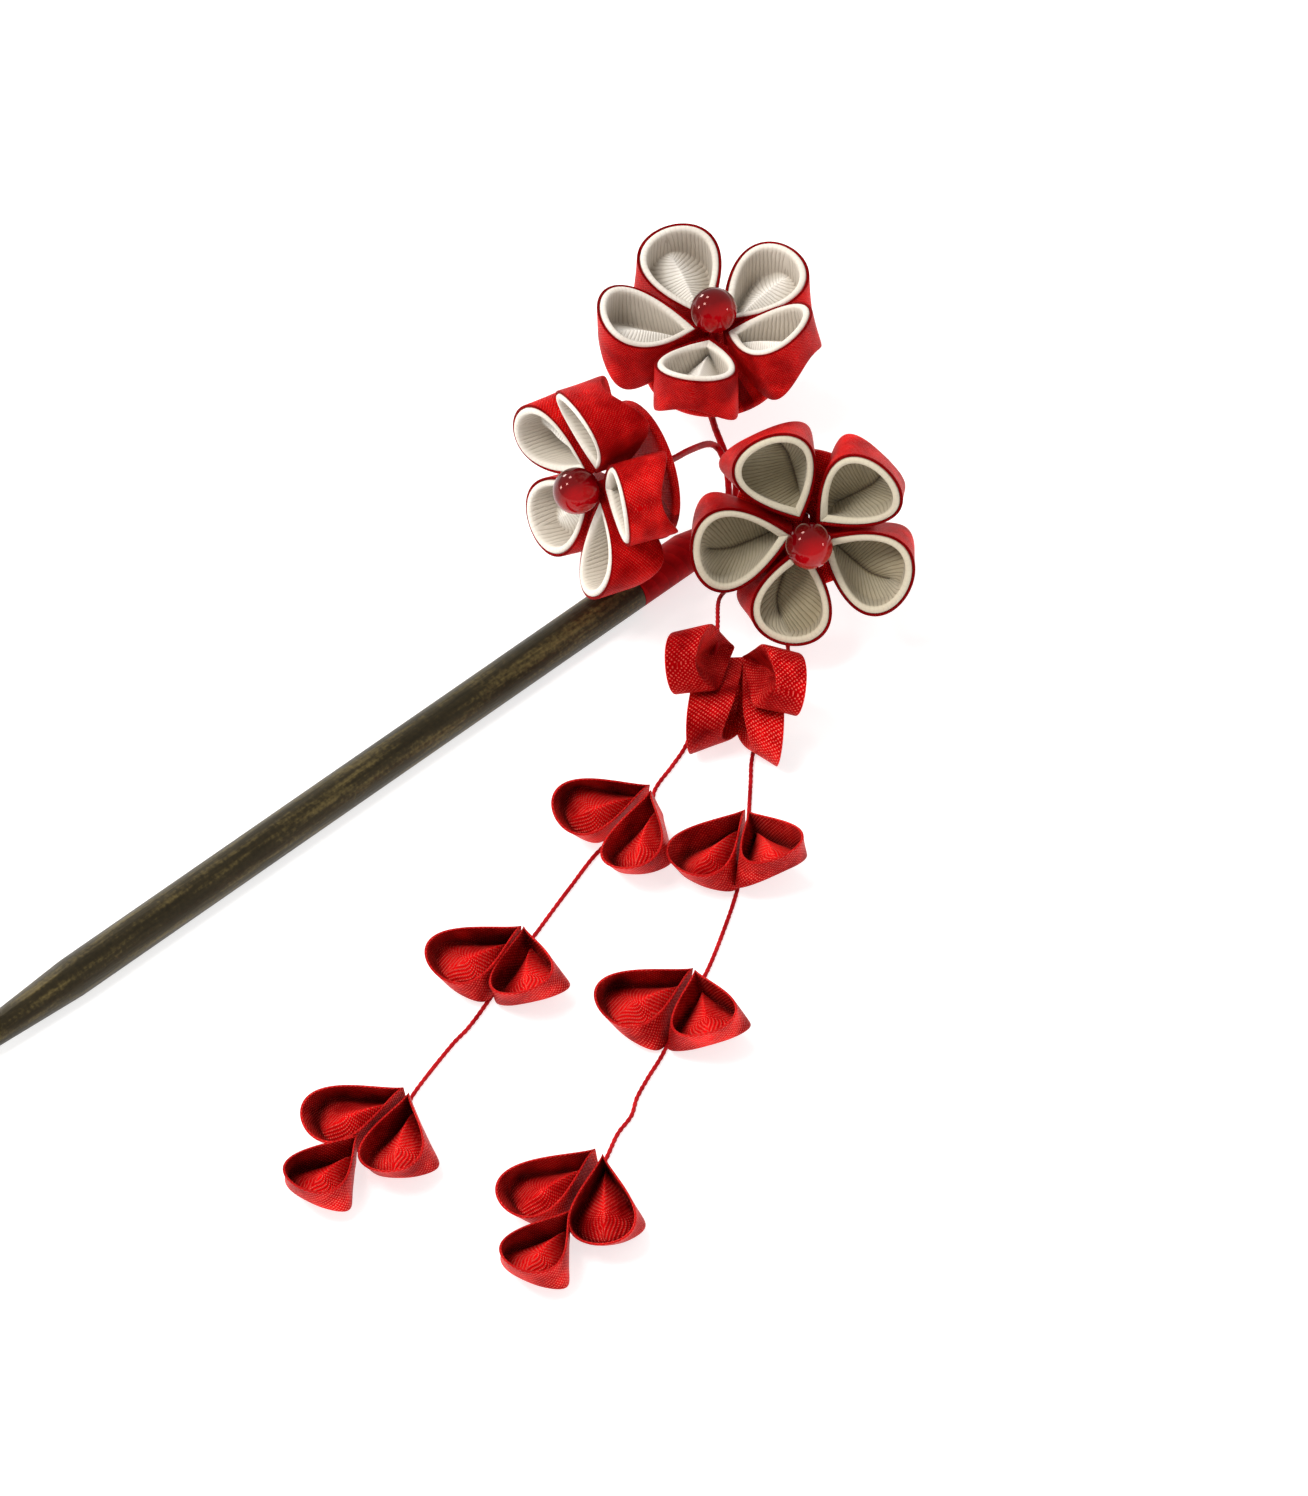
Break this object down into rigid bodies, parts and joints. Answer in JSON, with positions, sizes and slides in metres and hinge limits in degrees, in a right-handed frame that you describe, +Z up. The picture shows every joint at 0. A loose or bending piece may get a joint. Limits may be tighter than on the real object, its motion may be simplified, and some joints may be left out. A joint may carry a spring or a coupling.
{
  "type": "kanzashi hairpin",
  "caption": "Wooden hair stick with folded-ribbon flowers on wire stems, a glass bead in each, and two falling strings of folded petals.",
  "frame": {"origin": "on the surface under the middle of the whole hairpin", "axes": "+X along the stick from its tip to its wrapped end, +Z up from the surface it lies on"},
  "size_m": [0.2184, 0.1481, 0.0475],
  "materials": {
    "dark_wood": "polished",
    "red_tape": "satin",
    "red_glass": "polished",
    "red_satin": "satin",
    "white_grosgrain": "ribbed",
    "red_thread": "matte"
  },
  "bodies": {
    "root": {"stick": "dark_wood", "stem_wrap": "red_tape", "flower_backs": "red_satin", "stem_top": "red_tape", "stem_left": "red_tape", "stem_right": "red_tape", "top_bead": "red_glass", "left_bead": "red_glass", "right_bead": "red_glass", "top_petal_1": "red_satin", "top_petal_2": "red_satin", "top_petal_3": "red_satin", "top_petal_4": "red_satin", "top_petal_5": "red_satin", "left_petal_1": "red_satin", "left_petal_2": "red_satin", "left_petal_3": "red_satin", "left_petal_4": "red_satin", "left_petal_5": "red_satin", "right_petal_1": "red_satin", "right_petal_2": "red_satin", "right_petal_3": "red_satin", "right_petal_4": "red_satin", "right_petal_5": "red_satin", "top_liner_1": "white_grosgrain", "top_liner_2": "white_grosgrain", "top_liner_3": "white_grosgrain", "top_liner_4": "white_grosgrain", "top_liner_5": "white_grosgrain", "left_liner_1": "white_grosgrain", "left_liner_2": "white_grosgrain", "left_liner_3": "white_grosgrain", "left_liner_4": "white_grosgrain", "left_liner_5": "white_grosgrain", "right_liner_1": "white_grosgrain", "right_liner_2": "white_grosgrain", "right_liner_3": "white_grosgrain", "right_liner_4": "white_grosgrain", "right_liner_5": "white_grosgrain", "left_thread": "red_thread", "right_thread": "red_thread", "left_drop_1": "red_satin", "left_drop_2": "red_satin", "left_drop_3": "red_satin", "left_drop_4": "red_satin", "left_drop_5": "red_satin", "left_drop_6": "red_satin", "left_drop_7": "red_satin", "left_drop_8": "red_satin", "left_drop_9": "red_satin", "right_drop_1": "red_satin", "right_drop_2": "red_satin", "right_drop_3": "red_satin", "right_drop_4": "red_satin", "right_drop_5": "red_satin", "right_drop_6": "red_satin", "right_drop_7": "red_satin", "right_drop_8": "red_satin", "right_drop_9": "red_satin"}
  },
  "joints": []
}
